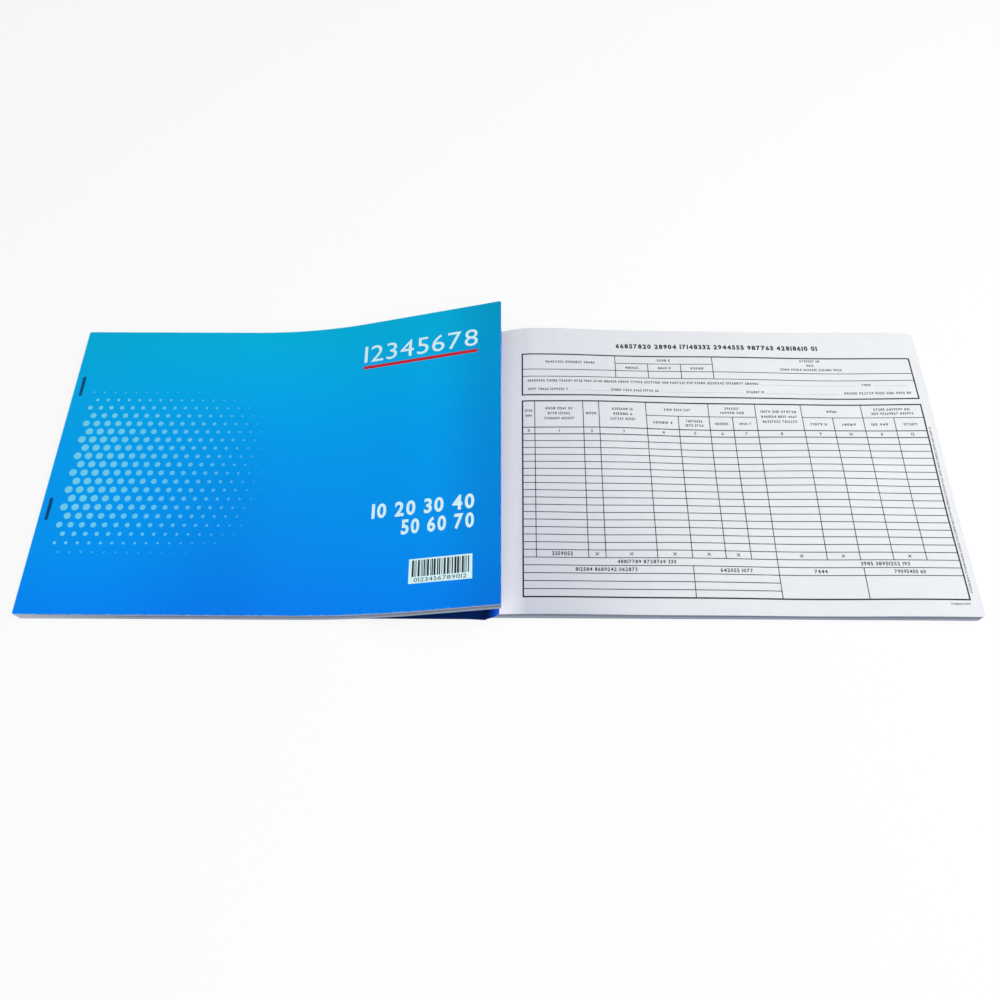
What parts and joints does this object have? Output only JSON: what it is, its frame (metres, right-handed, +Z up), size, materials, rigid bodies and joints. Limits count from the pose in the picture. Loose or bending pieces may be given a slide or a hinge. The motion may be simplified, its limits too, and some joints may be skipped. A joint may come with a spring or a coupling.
{
  "type": "dispatch note book",
  "caption": "Pair of stapled landscape form books in blue card covers, one closed with a curled free end, one open at its first ruled sheet with the cover turned back.",
  "frame": {"origin": "middle of the pair's overall box, on the table face", "axes": "+X along the long page edge to the open book's free edge, +Y from the reader to the far edges, +Z up"},
  "size_m": [0.5836, 0.2122, 0.0434],
  "materials": {
    "cover_card": "printed card, satin",
    "back_card": "card, satin",
    "sheet_paper": "uncoated paper, cut edges",
    "leaf_paper": "uncoated paper, printed form",
    "staple_wire": "steel wire"
  },
  "bodies": {
    "open_book": {"open_back_cover": "back_card", "open_sheet_block_1": "sheet_paper", "open_sheet_block_2": "sheet_paper", "open_sheet_block_3": "sheet_paper", "open_sheet_block_4": "sheet_paper", "open_sheet_block_5": "sheet_paper", "open_leaf_binding_edges": "sheet_paper", "open_cover_binding_strip": "cover_card", "open_staple_near": "staple_wire", "open_staple_far": "staple_wire", "open_front_cover": "cover_card"},
    "closed_book": {"closed_back_cover": "back_card", "closed_sheet_block_1": "sheet_paper", "closed_sheet_block_2": "sheet_paper", "closed_sheet_block_3": "sheet_paper", "closed_sheet_block_4": "sheet_paper", "closed_sheet_block_5": "sheet_paper", "closed_leaf_binding_edges": "sheet_paper", "closed_cover_binding_strip": "cover_card", "closed_staple_near": "staple_wire", "closed_staple_far": "staple_wire"},
    "closed_cover": {"closed_front_cover": "cover_card"},
    "closed_leaf_1": {"closed_leaf_1": "leaf_paper"},
    "closed_leaf_2": {"closed_leaf_2": "leaf_paper"},
    "closed_leaf_3": {"closed_leaf_3": "leaf_paper"},
    "closed_leaf_4": {"closed_leaf_4": "leaf_paper"},
    "open_leaf_1": {"open_leaf_1": "leaf_paper"},
    "open_leaf_2": {"open_leaf_2": "leaf_paper"},
    "open_leaf_3": {"open_leaf_3": "leaf_paper"},
    "open_leaf_4": {"open_leaf_4": "leaf_paper"}
  },
  "joints": [
    {"name": "closed_book_lift", "type": "slide", "parent": "open_book", "child": "closed_book", "axis": [0, 0, 1], "range_m": [0, 0.12]},
    {"name": "closed_cover_hinge", "type": "hinge", "parent": "closed_book", "child": "closed_cover", "pos_m": [-0.28522, 0, 0.00855], "axis": [0, -1, 0], "range_deg": [0, 165]},
    {"name": "closed_leaf_1_hinge", "type": "hinge", "parent": "closed_book", "child": "closed_leaf_1", "pos_m": [-0.28522, 0, 0.00855], "axis": [0, -1, 0], "range_deg": [0, 132]},
    {"name": "closed_leaf_2_hinge", "type": "hinge", "parent": "closed_book", "child": "closed_leaf_2", "pos_m": [-0.28522, 0, 0.00855], "axis": [0, -1, 0], "range_deg": [0, 99]},
    {"name": "closed_leaf_3_hinge", "type": "hinge", "parent": "closed_book", "child": "closed_leaf_3", "pos_m": [-0.28522, 0, 0.00855], "axis": [0, -1, 0], "range_deg": [0, 66]},
    {"name": "closed_leaf_4_hinge", "type": "hinge", "parent": "closed_book", "child": "closed_leaf_4", "pos_m": [-0.28522, 0, 0.00855], "axis": [0, -1, 0], "range_deg": [0, 33]},
    {"name": "open_leaf_1_hinge", "type": "hinge", "parent": "open_book", "child": "open_leaf_1", "pos_m": [0.00142, 0, 0.0081], "axis": [0, -1, 0], "range_deg": [0, 75]},
    {"name": "open_leaf_2_hinge", "type": "hinge", "parent": "open_book", "child": "open_leaf_2", "pos_m": [0.00142, 0, 0.0081], "axis": [0, -1, 0], "range_deg": [0, 56.25]},
    {"name": "open_leaf_3_hinge", "type": "hinge", "parent": "open_book", "child": "open_leaf_3", "pos_m": [0.00142, 0, 0.0081], "axis": [0, -1, 0], "range_deg": [0, 37.5]},
    {"name": "open_leaf_4_hinge", "type": "hinge", "parent": "open_book", "child": "open_leaf_4", "pos_m": [0.00142, 0, 0.0081], "axis": [0, -1, 0], "range_deg": [0, 18.75]}
  ],
  "couplings": [
    {"joint": "closed_leaf_1_hinge", "follows": "closed_cover_hinge", "ratio": 0.8},
    {"joint": "closed_leaf_2_hinge", "follows": "closed_cover_hinge", "ratio": 0.6},
    {"joint": "closed_leaf_3_hinge", "follows": "closed_cover_hinge", "ratio": 0.4},
    {"joint": "closed_leaf_4_hinge", "follows": "closed_cover_hinge", "ratio": 0.2},
    {"joint": "open_leaf_2_hinge", "follows": "open_leaf_1_hinge", "ratio": 0.75},
    {"joint": "open_leaf_3_hinge", "follows": "open_leaf_1_hinge", "ratio": 0.5},
    {"joint": "open_leaf_4_hinge", "follows": "open_leaf_1_hinge", "ratio": 0.25}
  ]
}
